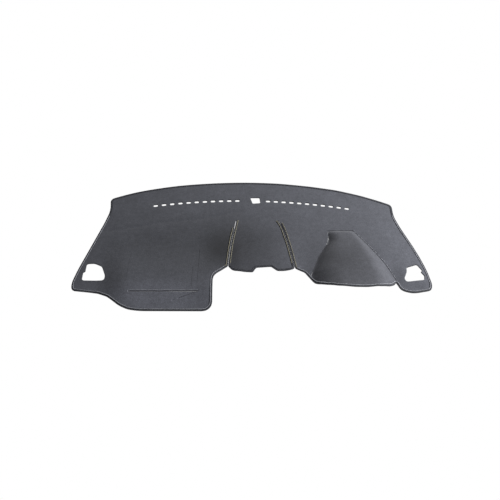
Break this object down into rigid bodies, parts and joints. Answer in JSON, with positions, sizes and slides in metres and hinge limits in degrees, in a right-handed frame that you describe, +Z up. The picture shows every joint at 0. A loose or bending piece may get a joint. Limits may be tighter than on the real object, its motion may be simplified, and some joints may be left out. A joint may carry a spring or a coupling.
{
  "type": "dashboard cover mat",
  "caption": "Felt dashboard cover mat with vent slots, a sensor opening, corner vent openings, a loose centre flap and a raised hood for the instruments.",
  "frame": {"origin": "on the floor, under the middle of the mat's box", "axes": "+X along the mat's length, towards its right end as the driver sees it; +Y towards the windscreen edge; +Z up, out of the cloth's upper face"},
  "size_m": [1.4556, 0.7154, 0.0611],
  "materials": {
    "felt": "matte needle-punched felt",
    "tape": "matte woven tape"
  },
  "bodies": {
    "root": {"mat_panel": "felt", "instrument_hood": "felt", "edge_binding": "tape", "flap_binding": "tape"}
  },
  "joints": []
}
